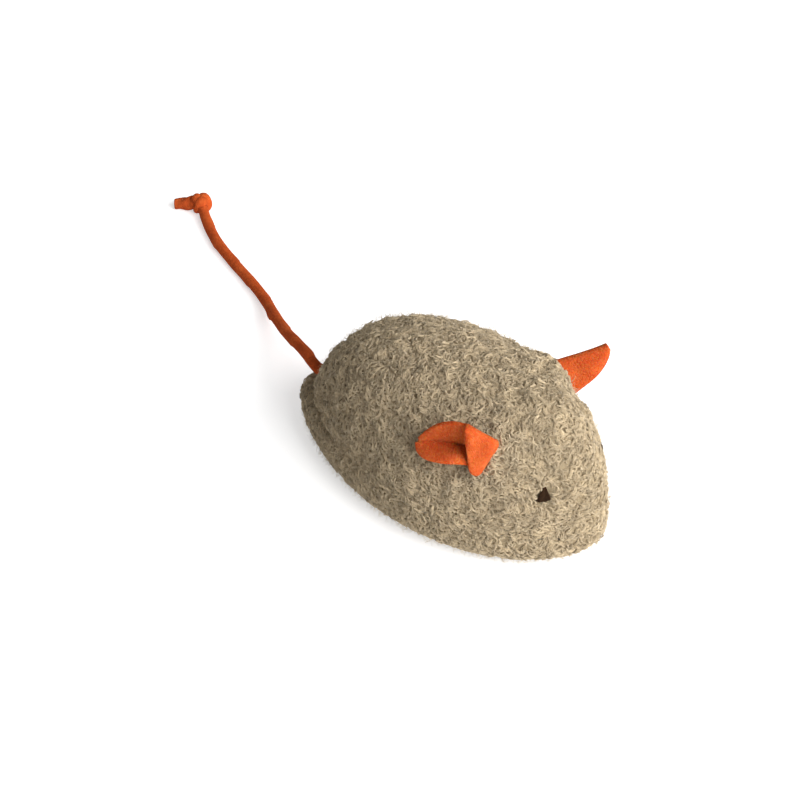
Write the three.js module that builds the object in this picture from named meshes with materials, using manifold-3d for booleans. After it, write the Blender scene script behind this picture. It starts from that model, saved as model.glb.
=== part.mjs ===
// A catnip mouse: a stuffed body of looped pile cloth on a plump sewn base, two felt ears set in
// darts, embroidered eyes, and a rolled felt tail with a knot near its end.
// Millimetres. +X is the nose, +Y the mouse's left side, +Z is up, and z = 0 is the flat underside.
import * as THREE from 'three';
import { mergeVertices } from 'three/addons/utils/BufferGeometryUtils.js';
import Module from 'manifold-3d';

const wasm = await Module();
wasm.setup();
const rad = THREE.MathUtils.degToRad;

// Body: half widths and heights at four stations between the rear end and the nose
const BODY_LENGTH = 90;
const STATIONS = [36, 72, 108, 144].map(rad);
const BASE_HALF_WIDTHS = [11.6, 22, 23.7, 13.4];
const SEAM_HALF_WIDTHS = [11.6, 21.2, 23.6, 12.9];
const CROWN_HEIGHTS = [14.8, 27.9, 29.9, 25.6];
const SEAM_LEVEL = { rear: 11.5, middle: 13.3, nose: 9.9 };
const SEAM_STEP = 5.6;
const SEAM_STEP_POWER = 4;
const SEAM_LEVEL_POWER = 4;
const BELLY_SHARE = 0.68;
const CROWN_POWERS = { across: 2 / 2.25, up: 2 / 2.14 };
const UNDER_POWER = 2 / 2.6;
const END_POWER = 6;
const FLAT_DEPTH = 0.5;
const CLOTH = 2.4;
const GAP = 0.3;
const RIM_BEVEL = 0.85;
const BODY_STEPS = 20;
const CROWN_STEPS = 16;
const QUARTER_STEPS = 4;
const FILLED = CLOTH + 4 * GAP;

// Filling: a wad of dried catnip put in through the open underside of the fibre stuffing
const CATNIP_RADIUS = 8.5;
const CATNIP_SHOULDER = 16;
const CATNIP_TOP = 23;
const CATNIP_ROUND = { radius: 6.1, height: 20.9 };
const CATNIP_FLOOR = 2.7;
const CATNIP_SIDES = 16;

// Sewing thread laid in the seam between the body and the base
const THREAD_RADIUS = 0.25;
const THREAD_INSET = 1.8;
const THREAD_DROP = 0.3;
const THREAD_SIDES = 5;

// Ears: one leaf of felt each, doubled along its crownward edge: a cupped back wall and, joined to
// it at that edge and at the root, a front flap that is cut off slantwise
const FELT = 1.2;
const EAR_HALF_WIDTH = 4.7;
const EAR_TIP_SHARE = 0.98;
const EAR_STRAIGHT_EDGE = { root: 1, tip: 0.12 };
const EAR_CUP_START = 0.06 * Math.PI;
const EAR_CUP_SPAN = 0.68 * Math.PI;
const EAR_RIM_RISE = 0.45;
const EAR_FACES = { along: 10, across: 8 };
const FLAP_FACES = { along: 5, across: 8 };
const FLAP_ROOT_RISE = 0.35;
const FLAP_SWELL = 0.75 * Math.PI;
const FLAP_WIDTH_SHARE = 0.96;
const FLAP_SEAT = 0.35;
const EAR_ROOT = new THREE.Vector3(23.4, 16.3, 32.5);
const EAR_OUT = new THREE.Vector3(0.36, 0.8, 0.47).normalize();
const EAR_CROWNWARD = new THREE.Vector3(0.206, -0.563, 0.8).normalize();
const HINGE_HEIGHT = 2.2;
const TAB_DEPTH = 4.5;
const TAB_WIDTH = 8.6;
const RIGHT_EAR = {
  fold: 92, droop: 6.8, turn: 0, shift: 0, length: 14.6, cup: 2.2, tipPower: 6, straight: 0,
  flap: { crown: 6.8, far: 2.8, rise: 1.5 },
};
const LEFT_EAR = {
  fold: 0, droop: 0, turn: -62, shift: 2.3, length: 10.3, cup: 0.9, tipPower: 2.4, straight: 1,
  flap: { crown: 9.6, far: 9, rise: 1.2 },
};

// Eyes: pads of satin stitch sunk in the pile
const EYE_PLACE = new THREE.Vector3(36.6, 11.1, 24.4);
const EYE_OUT = new THREE.Vector3(0.67, 0.71, 0.21).normalize();
const EYE_WIDTH = 3.2;
const EYE_HEIGHT = 4;
const EYE_DEPTH = 1.4;
const EYE_PROUD = 0.3;
const EYE_CURVE_STEPS = 5;

// Tail: a rolled cord that leaves the seam, comes down to the floor and lies there
const TAIL_RADIUS = 1.5;
const TAIL_SIDES = 8;
const TAIL_STEPS = 30;
const TAIL_BALL_RADIUS = 1.2;
const HOLD_RADIUS = 1.35;
const TAIL_HOLD = [[-33, 0, 13.1], [-36.5, 0, 13.1], [-40, 0, 13.1]];
const TAIL_START = [[-41.65, 0, 13.1], [-43.2, 0.45, 13.1], [-44.6, 1.15, 13], [-46, 1.9, 12.8]];
const TAIL_ROUTE = [
  [-47.4, 2.65, 12.55], [-50.1, 4.1, 11.7], [-54, 6.2, 10.3], [-58, 8.5, 8.7], [-62, 10.8, 7.2],
  [-66, 13.1, 5.8], [-70, 15.7, 4.5], [-73, 17.8, 3.6], [-75.5, 19.5, 2.9], [-78, 20.9, 2.3],
  [-81, 22.5, 2], [-85, 24.2, 1.7], [-89, 25.9, 1.6], [-93, 27.4, 1.6], [-97, 28.7, 1.6],
  [-100.5, 29.8, 1.6], [-104, 31.4, 1.6], [-107, 33, 1.6], [-110, 34.6, 1.6], [-113, 36.3, 1.7],
  [-115.5, 38, 1.8], [-117.2, 39.2, 2.1],
];
const KNOT_PLACE = new THREE.Vector3(-120.1, 41.2, 3);
const KNOT_TURN_RADIUS = 1.7;
const KNOT_STRAND = 1.35;
const KNOT_TILTS = [72, 25];
const KNOT_STEPS = 14;
const KNOT_END = [
  [-119.6, 41.6, 3.2], [-122.2, 40.6, 2.5], [-124.4, 39.3, 1.8], [-126.8, 37.9, 1.5],
];

const terry = new THREE.MeshStandardMaterial({ color: '#a9957a', roughness: 0.95, metalness: 0 });
const fibre = new THREE.MeshStandardMaterial({ color: '#f2f0ea', roughness: 1, metalness: 0 });
const herb = new THREE.MeshStandardMaterial({ color: '#6f7444', roughness: 1, metalness: 0 });
const felt = new THREE.MeshStandardMaterial({ color: '#dc6a38', roughness: 0.9, metalness: 0 });
const tailFelt = new THREE.MeshStandardMaterial({ color: '#c4562c', roughness: 0.9, metalness: 0 });
const darkThread = new THREE.MeshStandardMaterial({ color: '#35211a', roughness: 0.6, metalness: 0 });
const paleThread = new THREE.MeshStandardMaterial({ color: '#8f7d63', roughness: 0.7, metalness: 0 });

// Closed solid of a geometry, with shared corners merged and flat slivers dropped
function solid(geometry) {
  geometry.deleteAttribute('normal');
  geometry.deleteAttribute('uv');
  const merged = mergeVertices(geometry, 1e-4);
  const corners = merged.index.array;
  const triVerts = [];
  for (let i = 0; i < corners.length; i += 3) {
    const [a, b, c] = corners.slice(i, i + 3);
    if (a !== b && b !== c && c !== a) triVerts.push(a, b, c);
  }
  const vertProperties = new Float32Array(merged.attributes.position.array);
  const mesh = new wasm.Mesh({ numProp: 3, vertProperties, triVerts: new Uint32Array(triVerts) });
  return new wasm.Manifold(mesh);
}

function meshOf(name, body, material) {
  const { vertProperties, triVerts } = body.getMesh();
  const geometry = new THREE.BufferGeometry();
  geometry.setAttribute('position', new THREE.BufferAttribute(vertProperties, 3));
  geometry.setIndex(new THREE.BufferAttribute(triVerts, 1));
  geometry.computeVertexNormals();
  const mesh = new THREE.Mesh(geometry, material);
  mesh.name = name;
  return mesh;
}

// Solid between rings of points, joined ring to ring; the end rings have no area
function loft(rings) {
  const count = rings[0].length;
  const faces = [];
  for (let r = 0; r + 1 < rings.length; r += 1) {
    for (let i = 0; i < count; i += 1) {
      const here = r * count + i;
      const next = r * count + (i + 1) % count;
      faces.push(here, next, next + count, here, next + count, here + count);
    }
  }
  const geometry = new THREE.BufferGeometry().setFromPoints(rings.flat());
  geometry.setIndex(faces);
  return solid(geometry);
}

// A round cord through the points, with so many steps along it
function tube(points, radius, steps = points.length) {
  const path = new THREE.CatmullRomCurve3(points.map((p) => new THREE.Vector3(...p)));
  const section = new THREE.Shape().absarc(0, 0, radius, 0, 2 * Math.PI);
  const options = { steps, extrudePath: path, bevelEnabled: false, curveSegments: TAIL_SIDES / 2 };
  return solid(new THREE.ExtrudeGeometry(section, options));
}

// A length of the tail that turns on a ball at its near end
function ballEnded(points, steps) {
  const ball = new THREE.SphereGeometry(TAIL_BALL_RADIUS, TAIL_SIDES, TAIL_SIDES / 2);
  ball.translate(...points[0]);
  return tube(points, TAIL_RADIUS, steps).add(solid(ball));
}

// A swelling through the four stations that closes to nothing at both ends
function swelling(values, turn) {
  let sum = 0;
  STATIONS.forEach((station, i) => {
    let term = values[i] / Math.sin(station);
    for (const other of STATIONS) {
      if (other === station) continue;
      term *= (Math.cos(turn) - Math.cos(other)) / (Math.cos(station) - Math.cos(other));
    }
    sum += term;
  });
  return Math.max(sum * Math.sin(turn), 0);
}

const drawnIn = (values, inset) => values.map((value) => value - inset);

function seamLevel(turn) {
  const rear = ((1 + Math.cos(turn)) / 2) ** SEAM_LEVEL_POWER;
  const nose = ((1 - Math.cos(turn)) / 2) ** SEAM_LEVEL_POWER;
  const { rear: atRear, middle, nose: atNose } = SEAM_LEVEL;
  return middle + (atRear - middle) * rear + (atNose - middle) * nose;
}

// The seam is drawn in from the base's end at the rear
function seamAlong(turn, inset) {
  const rear = SEAM_STEP * ((1 + Math.cos(turn)) / 2) ** SEAM_STEP_POWER;
  return rear - (BODY_LENGTH / 2 - inset) * Math.cos(turn);
}

// The back and head, from the left seam (0) over the top to the right seam (pi)
function crownPoint(turn, around, inset, lift) {
  const across = Math.cos(around);
  const up = Math.max(Math.sin(around), 0);
  const halfWidth = swelling(drawnIn(SEAM_HALF_WIDTHS, inset), turn);
  const height = swelling(drawnIn(CROWN_HEIGHTS, inset), turn);
  return new THREE.Vector3(
    seamAlong(turn, inset),
    halfWidth * Math.sign(across) * Math.abs(across) ** CROWN_POWERS.across,
    seamLevel(turn) + lift + height * up ** CROWN_POWERS.up,
  );
}

// One side of the base: out over the lip to the belly line (0 to 1), then under to the middle (1 to 2)
function basePoint(turn, step, side, inset, drop) {
  const seamWidth = swelling(drawnIn(SEAM_HALF_WIDTHS, inset), turn);
  const bellyWidth = swelling(drawnIn(BASE_HALF_WIDTHS, inset), turn);
  const top = seamLevel(turn) - drop;
  const belly = BELLY_SHARE * top;
  const seamX = seamAlong(turn, inset);
  const bellyX = -(BODY_LENGTH / 2 - inset) * Math.cos(turn);
  const quarter = (step % 1) * (Math.PI / 2);
  if (step < 1) {
    const out = Math.sin(quarter);
    return new THREE.Vector3(
      seamX + (bellyX - seamX) * out,
      side * (seamWidth + (bellyWidth - seamWidth) * out),
      belly + (top - belly) * Math.cos(quarter) ** (1 + inset),
    );
  }
  const under = step === 2 ? 1 : Math.sin(quarter) ** UNDER_POWER;
  const across = step === 2 ? 0 : Math.cos(quarter) ** UNDER_POWER;
  const fullness = 1 - Math.abs(Math.cos(turn)) ** END_POWER;
  const depth = (belly + FLAT_DEPTH - inset) * fullness;
  return new THREE.Vector3(bellyX, side * bellyWidth * across, belly - depth * under);
}

// Even steps from 0 to the end value
const stepsTo = (end, count) => Array.from({ length: count + 1 }, (_, i) => (end * i) / count);
const turns = stepsTo(Math.PI, BODY_STEPS);

function crownArc(turn, inset, lift) {
  return stepsTo(Math.PI, CROWN_STEPS).map((around) => crownPoint(turn, around, inset, lift));
}

function baseArc(turn, inset, drop) {
  const steps = stepsTo(2, 2 * QUARTER_STEPS);
  const right = steps.map((step) => basePoint(turn, step, -1, inset, drop));
  const left = steps.slice(0, -1).reverse().map((step) => basePoint(turn, step, 1, inset, drop));
  return right.concat(left);
}

// A cloth wall: an outer arc and, back along it, the same arc drawn in by the cloth's thickness;
// its rims are bevelled, so that the two covers leave room between them for the sewing thread
function clothWall(arc) {
  const inside = GAP / 2 + RIM_BEVEL;
  return loft(turns.map((turn) => [...arc(turn, 0, GAP / 2), ...arc(turn, CLOTH, inside).reverse()]));
}

function placed(geometry, frame) {
  frame.updateMatrixWorld();
  return geometry.clone().applyMatrix4(frame.matrixWorld);
}

function standing(origin, along, across) {
  const frame = new THREE.Group();
  const facing = new THREE.Vector3().crossVectors(along, across).normalize();
  frame.position.copy(origin);
  frame.quaternion.setFromRotationMatrix(new THREE.Matrix4().makeBasis(along, across, facing));
  return frame;
}

const mirrored = (vector, side) => new THREE.Vector3(vector.x, side * vector.y, vector.z);

// A bent sheet of felt: a surface of two shares, with so many faces along and across it,
// thickened to both sides
function feltSheet(surface, along, across) {
  const step = 1e-3;
  const pointAt = (s, q, side) => {
    const ahead = surface(s + step, q).sub(surface(s - step, q));
    const aside = surface(s, q + step).sub(surface(s, q - step));
    const normal = ahead.cross(aside).normalize();
    return surface(s, q).addScaledVector(normal, (side * FELT) / 2);
  };
  const rowAt = (s, side) => stepsTo(2, across).map((q) => pointAt(s, q - 1, side));
  const front = stepsTo(1, along).map((s) => rowAt(s, 1));
  const back = stepsTo(1, along).map((s) => rowAt(s, -1));
  const rings = back.map((row, i) => [...row, ...front[i].reverse()]);
  const middles = [rings[0], rings[along]].map((ring) => {
    const middle = ring.reduce((sum, point) => sum.add(point), new THREE.Vector3());
    return middle.divideScalar(ring.length);
  });
  const cap = (middle) => rings[0].map(() => middle);
  return loft([cap(middles[0]), ...rings, cap(middles[1])]);
}

const earStart = FELT / 2 + GAP;

// Half width of an ear: its far edge closes in a round tip, its crownward edge is round or straight
function earHalfWidth(share, crownward, pose) {
  const leaf = Math.sqrt(1 - THREE.MathUtils.clamp(share, 0, EAR_TIP_SHARE) ** pose.tipPower);
  if (!crownward) return EAR_HALF_WIDTH * leaf;
  const straight = THREE.MathUtils.lerp(EAR_STRAIGHT_EDGE.root, EAR_STRAIGHT_EDGE.tip, share);
  return EAR_HALF_WIDTH * THREE.MathUtils.lerp(leaf, straight, pose.straight);
}

// Depth of an ear's cup at a share of its length
const earCup = (share, pose) => pose.cup * Math.sin(EAR_CUP_START + EAR_CUP_SPAN * share);

function earBack(share, across, side, pose) {
  const along = earStart + (pose.length - earStart) * share;
  const aside = earHalfWidth(share, side * across > 0, pose) * across;
  const level = earCup(share, pose) * (across ** 2 - 1 + EAR_RIM_RISE);
  return new THREE.Vector3(along, aside, level);
}

function earFlap(share, across, side, pose) {
  const { crown, far, rise } = pose.flap;
  const fromCrown = (1 - side * across) / 2;
  const reach = THREE.MathUtils.lerp(crown, far, fromCrown);
  const along = earStart + (reach - earStart) * share;
  const place = along / pose.length;
  const aside = FLAP_WIDTH_SHARE * earHalfWidth(place, side * across > 0, pose) * across;
  const swell = THREE.MathUtils.lerp(FLAP_ROOT_RISE, rise, share) * Math.sin(FLAP_SWELL * fromCrown);
  return new THREE.Vector3(along, aside, swell - FLAP_SEAT + EAR_RIM_RISE * earCup(place, pose));
}

// The hinge line of an ear lies across its root, just above the pile
function earPieces(sideName, side, pose) {
  const out = mirrored(EAR_OUT, side);
  const crownward = mirrored(EAR_CROWNWARD, side).applyAxisAngle(out, rad(pose.turn));
  const back = new THREE.Vector3().crossVectors(crownward, out).multiplyScalar(side);
  const hinge = mirrored(EAR_ROOT, side).addScaledVector(out, HINGE_HEIGHT);
  hinge.addScaledVector(crownward, pose.shift);
  const along = out.clone().multiplyScalar(Math.cos(rad(pose.fold)));
  along.addScaledVector(back, Math.sin(rad(pose.fold)));
  const frame = standing(hinge, along, crownward.clone().multiplyScalar(side));
  const drooped = (point) => point.setY(point.y - side * pose.droop * (point.x / pose.length) ** 2);
  const wallOf = (form, faces) => feltSheet(
    (share, across) => drooped(form(share, across, side, pose)), faces.along, faces.across);
  const doubled = wallOf(earBack, EAR_FACES).add(wallOf(earFlap, FLAP_FACES));
  frame.add(meshOf(`${sideName}_ear`, doubled, felt));

  const tabLength = TAB_DEPTH + HINGE_HEIGHT - GAP;
  const tabFrame = standing(hinge, out, crownward);
  const tabAt = (grow) => {
    const block = new THREE.BoxGeometry(tabLength + grow, TAB_WIDTH + grow, FELT + grow);
    block.translate(-GAP - tabLength / 2, 0, 0);
    return placed(block, tabFrame);
  };
  const tab = meshOf(`${sideName}_ear_tab`, solid(tabAt(0)), felt);
  return { frame, tab, slit: solid(tabAt(2 * GAP)) };
}

// Rounded triangle of stitches, point up
function eyeOutline(grow) {
  const low = -EYE_HEIGHT / 2 - grow;
  const high = EYE_HEIGHT / 2 + grow;
  const half = EYE_WIDTH / 2 + grow;
  const outline = new THREE.Shape();
  outline.moveTo(-half, low);
  outline.lineTo(half, low);
  outline.quadraticCurveTo(half, high, 0, high);
  outline.quadraticCurveTo(-half, high, -half, low);
  return outline;
}

function eyePieces(sideName, side) {
  const out = mirrored(EYE_OUT, side);
  const level = new THREE.Vector3(0, 0, 1).cross(out).normalize();
  const upward = new THREE.Vector3().crossVectors(out, level);
  const frame = standing(mirrored(EYE_PLACE, side), level, upward);
  const pad = (grow) => {
    const options = { depth: EYE_DEPTH + grow, bevelEnabled: false, curveSegments: EYE_CURVE_STEPS };
    const block = new THREE.ExtrudeGeometry(eyeOutline(grow), options);
    block.translate(0, 0, EYE_PROUD - EYE_DEPTH - grow);
    return solid(placed(block, frame));
  };
  return { eye: meshOf(`${sideName}_eye`, pad(0), darkThread), recess: pad(GAP) };
}

// Thread round the seam, held between the bevelled rims of the two covers
function seamThread() {
  const seamPoint = (turn, around) => crownPoint(turn, around, THREAD_INSET, -THREAD_DROP);
  const right = turns.map((turn) => seamPoint(turn, Math.PI));
  const left = turns.slice(1, -1).reverse().map((turn) => seamPoint(turn, 0));
  const path = new THREE.CatmullRomCurve3([...right, ...left], true);
  return solid(new THREE.TubeGeometry(path, path.points.length, THREAD_RADIUS, THREAD_SIDES, true));
}

const ears = [earPieces('right', -1, RIGHT_EAR), earPieces('left', 1, LEFT_EAR)];
const eyes = [eyePieces('right', -1), eyePieces('left', 1)];
const tailHold = tube(TAIL_HOLD, HOLD_RADIUS);
const [holdX, holdY, holdZ] = TAIL_HOLD[0];
const holeRoute = [[holdX + GAP, holdY, holdZ], ...TAIL_HOLD.slice(1), ...TAIL_START.slice(1, 3)];
const tailHole = tube(holeRoute, TAIL_RADIUS + GAP);

let bodyCover = clothWall(crownArc);
for (const { slit } of ears) bodyCover = bodyCover.subtract(slit);
for (const { recess } of eyes) bodyCover = bodyCover.subtract(recess);
bodyCover = bodyCover.subtract(tailHole);

const floorBlock = new THREE.BoxGeometry(2 * BODY_LENGTH, BODY_LENGTH, 2 * CLOTH);
floorBlock.translate(0, 0, -CLOTH);
const baseCover = clothWall(baseArc).subtract(solid(floorBlock)).subtract(tailHole);

let stuffing = loft(turns.map((turn) => {
  const under = baseArc(turn, FILLED, RIM_BEVEL + GAP);
  return [...crownArc(turn, FILLED, GAP), ...under.slice(1, -1)];
}));
const wadAt = (grow, floor) => solid(new THREE.LatheGeometry([
  new THREE.Vector2(0, floor),
  new THREE.Vector2(CATNIP_RADIUS + grow, floor),
  new THREE.Vector2(CATNIP_RADIUS + grow, CATNIP_SHOULDER),
  new THREE.Vector2(CATNIP_ROUND.radius + grow, CATNIP_ROUND.height + grow),
  new THREE.Vector2(0, CATNIP_TOP + grow),
], CATNIP_SIDES).rotateX(Math.PI / 2));
stuffing = stuffing.subtract(wadAt(GAP, 0)).subtract(tailHole);
for (const { slit } of ears) stuffing = stuffing.subtract(slit);

// The knot: two turns of the cord, one over the other, and the free end
const [lastX, lastY] = TAIL_ROUTE.at(-1);
const tailHeading = Math.atan2(KNOT_PLACE.y - lastY, KNOT_PLACE.x - lastX);
const knotTurns = KNOT_TILTS.map((tilt) => {
  const ring = new THREE.TorusGeometry(KNOT_TURN_RADIUS, KNOT_STRAND, TAIL_SIDES, KNOT_STEPS);
  ring.rotateY(rad(tilt)).rotateZ(tailHeading).translate(...KNOT_PLACE);
  return solid(ring);
});
const knot = knotTurns[0].add(knotTurns[1]).add(tube(KNOT_END, KNOT_STRAND));

const mouse = new THREE.Group();
mouse.add(
  meshOf('body_cover', bodyCover, terry),
  meshOf('base_cover', baseCover, terry),
  meshOf('stuffing', stuffing, fibre),
  meshOf('catnip_fill', wadAt(0, CATNIP_FLOOR), herb),
  meshOf('seam_thread', seamThread(), paleThread),
  ...ears.flatMap(({ frame, tab }) => [frame, tab]),
  ...eyes.map(({ eye }) => eye),
  meshOf('tail_hold', tailHold, tailFelt),
  meshOf('tail_start', ballEnded(TAIL_START), tailFelt),
  meshOf('tail', ballEnded(TAIL_ROUTE, TAIL_STEPS), tailFelt),
  meshOf('tail_knot', knot, tailFelt),
);

export default mouse;
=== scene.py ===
import math

import bpy
import numpy as np
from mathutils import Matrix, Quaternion, Vector, noise


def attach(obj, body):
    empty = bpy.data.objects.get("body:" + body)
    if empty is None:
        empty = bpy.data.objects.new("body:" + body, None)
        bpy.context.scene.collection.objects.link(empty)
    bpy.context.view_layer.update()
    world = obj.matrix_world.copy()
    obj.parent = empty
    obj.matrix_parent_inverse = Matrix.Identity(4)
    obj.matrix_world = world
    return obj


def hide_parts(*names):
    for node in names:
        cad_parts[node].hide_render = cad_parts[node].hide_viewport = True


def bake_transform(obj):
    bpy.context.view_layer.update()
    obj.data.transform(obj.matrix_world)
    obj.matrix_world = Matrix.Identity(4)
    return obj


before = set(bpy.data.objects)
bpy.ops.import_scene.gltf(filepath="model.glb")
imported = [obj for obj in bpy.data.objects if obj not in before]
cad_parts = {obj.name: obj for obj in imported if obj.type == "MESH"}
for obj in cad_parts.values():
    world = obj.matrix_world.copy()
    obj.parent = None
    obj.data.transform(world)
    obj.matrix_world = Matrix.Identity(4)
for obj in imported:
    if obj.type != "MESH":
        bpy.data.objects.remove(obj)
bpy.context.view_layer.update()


# The camera looks down on the mouse from the right of its nose, far enough away for little
# perspective. Its aim lies left of and above the body, so that the whole tail is in view.
CAMERA_DISTANCE = 0.6
CAMERA_LENS = 112.3
VIEW_CENTRE = Vector((0, 0, 0.015))
VIEW_AZIMUTH = math.radians(37.9)
VIEW_ELEVATION = math.radians(42.1)
AIM_LEFT = 0.01185
AIM_UP = 0.00776

to_camera = Vector((
    math.sin(VIEW_AZIMUTH) * math.cos(VIEW_ELEVATION),
    -math.cos(VIEW_AZIMUTH) * math.cos(VIEW_ELEVATION),
    math.sin(VIEW_ELEVATION),
))
view_right = Vector((math.cos(VIEW_AZIMUTH), math.sin(VIEW_AZIMUTH), 0))
view_up = to_camera.cross(view_right)
camera = bpy.data.objects.new("camera", bpy.data.cameras.new("camera"))
camera.data.lens = CAMERA_LENS
camera.location = VIEW_CENTRE + to_camera * CAMERA_DISTANCE
aim = VIEW_CENTRE - view_right * AIM_LEFT + view_up * AIM_UP
camera.rotation_euler = (aim - camera.location).to_track_quat("-Z", "Y").to_euler()
bpy.context.scene.collection.objects.link(camera)
bpy.context.scene.camera = camera


# The back and head: one cover of knitted backing, swollen by the stuffing, that tapers to the
# nose and the rear. Small darts above and below each ear shape the head and pull the cloth in.
RIGHT = -1
LEFT = 1
BODY_LENGTH = 0.09
STATIONS = [math.radians(angle) for angle in (36, 72, 108, 144)]
SEAM_HALF_WIDTHS = (0.0116, 0.0212, 0.0236, 0.0129)
CROWN_HEIGHTS = (0.0148, 0.0279, 0.0299, 0.0256)
SEAM_LEVEL_REAR = 0.0115
SEAM_LEVEL_MIDDLE = 0.0133
SEAM_LEVEL_NOSE = 0.0099
SEAM_LEVEL_POWER = 4
SEAM_STEP = 0.0056
SEAM_STEP_POWER = 4
CROWN_POWER_ACROSS = 2 / 2.25
CROWN_POWER_UP = 2 / 2.14
PILE_DEPTH = 0.0007
SEAM_GAP = 0.00015
BODY_STEPS = 120
CROWN_STEPS = 108
SAME_POINT = 1e-6
LUMP_SIZE = 0.013
LUMP_DEPTH = 0.0005
TUFT_SIZE = 0.0028
TUFT_DEPTH = 0.0008
DART_WIDTH = 0.0013
DART_DEPTH = 0.0012
DART_TO_CROWN = Vector((0.0022, -0.0095, 0.003))
DART_TO_CHEEK = Vector((0.002, 0.002, -0.006))
PUCKER_SIZE = 0.006
PUCKER_PLACE = 0.0045
PUCKER_HEIGHTS = {RIGHT: 0.0018, LEFT: 0.0029}
HOLLOW_PLACE = 0.0072
HOLLOW_DEPTHS = {RIGHT: 0, LEFT: 0.0018}

# Where the ears, eyes and tail are sewn in, and how much cloth stays bare round them.
EAR_ROOT = Vector((0.0234, 0.0163, 0.0325))
EAR_OUT = Vector((0.36, 0.8, 0.47)).normalized()
EAR_CROWNWARD = Vector((0.206, -0.563, 0.8)).normalized()
EAR_SLIT_HALF = 0.0046
LEFT_EAR_TURN = math.radians(-62)
LEFT_EAR_SHIFT = 0.0023
EYE_PLACE = Vector((0.0366, 0.0111, 0.0244))
EYE_OUT = Vector((0.67, 0.71, 0.21)).normalized()
EYE_HALF_WIDTH = 0.0017
EYE_HALF_HEIGHT = 0.002
EYE_MIDDLE = 0.8
EYE_TAPER = 0.5
EYE_POINT = 0.3
TAIL_EXIT = Vector((-0.0403, 0, 0.0131))
BARE_MARGINS = {
    "pile_share": {"eye": 0.0005, "tail": 0.0024, "ear": 0.0011},
    "fuzz_share": {"eye": 0.0012, "tail": 0.012, "ear": 0.0045},
}


def on_side(place, side):
    """A place of the left side, or its mirror image on the right."""
    return Vector((place.x, side * place.y, place.z))


def swelling(values, turn):
    """A swelling through the four stations that closes to nothing at both ends."""
    total = 0
    for station, value in zip(STATIONS, values):
        term = value / math.sin(station)
        for other in STATIONS:
            if other != station:
                term *= (math.cos(turn) - math.cos(other)) / (math.cos(station) - math.cos(other))
        total += term
    return max(total * math.sin(turn), 0)


def seam_level(turn):
    """Height of the seam, which sinks towards both ends."""
    rear = ((1 + math.cos(turn)) / 2) ** SEAM_LEVEL_POWER
    nose = ((1 - math.cos(turn)) / 2) ** SEAM_LEVEL_POWER
    level = SEAM_LEVEL_MIDDLE + (SEAM_LEVEL_REAR - SEAM_LEVEL_MIDDLE) * rear
    return level + (SEAM_LEVEL_NOSE - SEAM_LEVEL_MIDDLE) * nose


def seam_along(turn, inset):
    """Place of the seam along the body, drawn in from the outline at the rear."""
    drawn_in = SEAM_STEP * ((1 + math.cos(turn)) / 2) ** SEAM_STEP_POWER
    return drawn_in - (BODY_LENGTH / 2 - inset) * math.cos(turn)


def crown_point(turn, around, inset):
    """A point of the back and head, from the left seam over the top to the right seam."""
    across = math.cos(around)
    up = max(math.sin(around), 0)
    half_width = swelling([value - inset for value in SEAM_HALF_WIDTHS], turn)
    height = swelling([value - inset for value in CROWN_HEIGHTS], turn)
    return Vector((
        seam_along(turn, inset),
        half_width * math.copysign(abs(across) ** CROWN_POWER_ACROSS, across),
        seam_level(turn) + SEAM_GAP + height * up ** CROWN_POWER_UP,
    ))


def settled(made):
    """The object with its modifiers worked into a plain mesh."""
    depsgraph = bpy.context.evaluated_depsgraph_get()
    evaluated = made.evaluated_get(depsgraph)
    mesh = bpy.data.meshes.new_from_object(
        evaluated, preserve_all_data_layers=True, depsgraph=depsgraph
    )
    made.modifiers.clear()
    made.data = mesh
    mesh.polygons.foreach_set("use_smooth", [True] * len(mesh.polygons))
    return made


def sheet_mesh(name, rows):
    """A mesh of quads through rows of points, with the points that coincide merged."""
    width = len(rows[0])
    faces = []
    for r in range(len(rows) - 1):
        for i in range(width - 1):
            here = r * width + i
            faces.append((here, here + 1, here + 1 + width, here + width))
    mesh = bpy.data.meshes.new(name)
    mesh.from_pydata([point for row in rows for point in row], [], faces)
    made = bpy.data.objects.new(name, mesh)
    bpy.context.scene.collection.objects.link(made)
    weld = made.modifiers.new("weld", "WELD")
    weld.merge_threshold = SAME_POINT
    return settled(made)


def from_line(point, start, end):
    """Distance of a point from a straight stretch."""
    along = end - start
    share = (point - start).dot(along) / along.length_squared
    return (point - start - along * min(max(share, 0), 1)).length


def ear_seat(side):
    """Root of an ear, its way out of the head and its way to the crown; the left one is turned."""
    root = on_side(EAR_ROOT, side)
    out = on_side(EAR_OUT, side)
    crownward = on_side(EAR_CROWNWARD, side)
    if side == LEFT:
        crownward = Quaternion(out, LEFT_EAR_TURN) @ crownward
        root = root + crownward * LEFT_EAR_SHIFT
    return root, out, crownward


def eye_seat(side):
    """Centre of an eye, its way out of the head, its level direction and its way up."""
    out = on_side(EYE_OUT, side)
    level = Vector((0, 0, 1)).cross(out).normalized()
    return on_side(EYE_PLACE, side), out, level, out.cross(level)


def in_eye(point, margin):
    """Whether a point of the cover lies under a stitched eye or close beside it."""
    for side in (RIGHT, LEFT):
        centre, _, level, upward = eye_seat(side)
        offset = point - centre
        height = offset.dot(upward)
        if offset.length > 2 * EYE_HALF_HEIGHT or abs(height) > EYE_HALF_HEIGHT + margin:
            continue
        taper = EYE_MIDDLE - EYE_TAPER * max(height / EYE_HALF_HEIGHT, -1) ** 3
        if abs(offset.dot(level)) < EYE_HALF_WIDTH * max(taper, EYE_POINT) + margin:
            return True
    return False


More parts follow.
